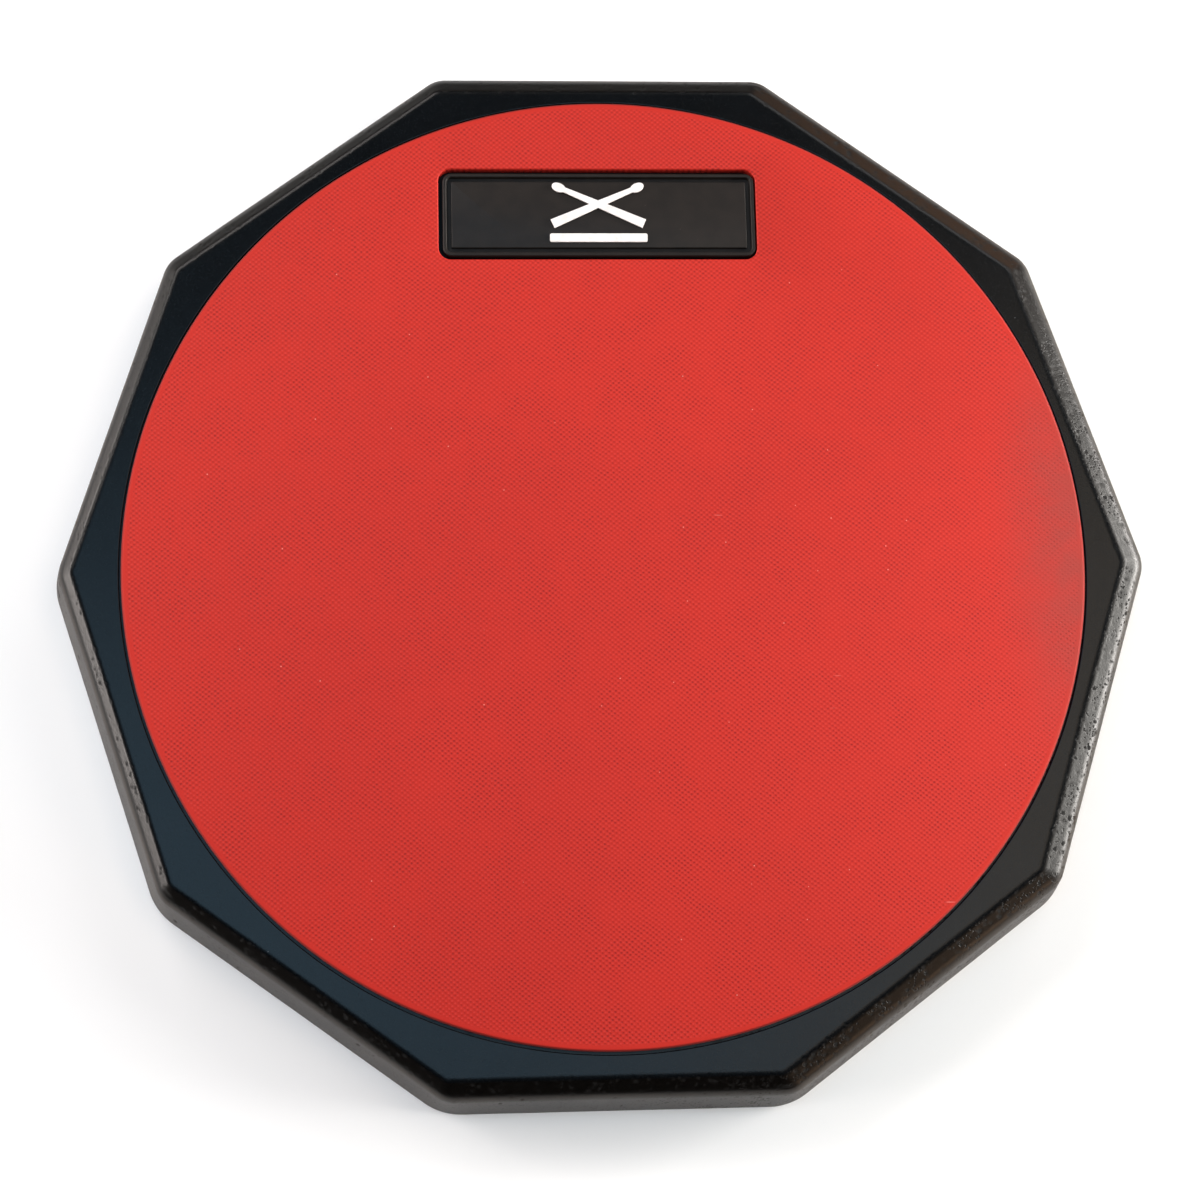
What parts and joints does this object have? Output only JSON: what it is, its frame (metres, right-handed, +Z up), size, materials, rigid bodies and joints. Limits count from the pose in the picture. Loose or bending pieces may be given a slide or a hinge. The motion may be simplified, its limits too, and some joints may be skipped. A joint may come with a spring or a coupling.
{
  "type": "practice pad",
  "caption": "Ten-sided rubber drum practice pad with a bevelled rim, a round red playing sheet, an inset badge and a threaded stand insert underneath.",
  "frame": {"origin": "centre of the underside, on the surface the pad rests on", "axes": "+Z up out of the playing surface, +Y towards the badge, X through two opposite corners of the ten-sided body"},
  "size_m": [0.3046, 0.2914, 0.0251],
  "materials": {
    "body_rubber": "matte moulded black rubber, pitted on the bevel",
    "red_rubber": "matte red rubber with a fine cloth imprint",
    "grip_rubber": "matte ribbed black rubber",
    "fibreboard": "raw fibreboard",
    "plated_steel": "zinc-plated steel",
    "badge_black": "satin soft black plastic",
    "badge_white": "satin soft white plastic",
    "white_tape": "matte foam tape"
  },
  "bodies": {
    "root": {"base_body": "body_rubber", "core_board": "fibreboard", "bottom_pad": "grip_rubber", "stand_insert": "plated_steel", "insert_screws": "plated_steel", "playing_sheet": "red_rubber", "badge_tape": "white_tape", "badge_plate": "badge_black", "badge_emblem": "badge_white", "badge_bar": "badge_white"}
  },
  "joints": []
}
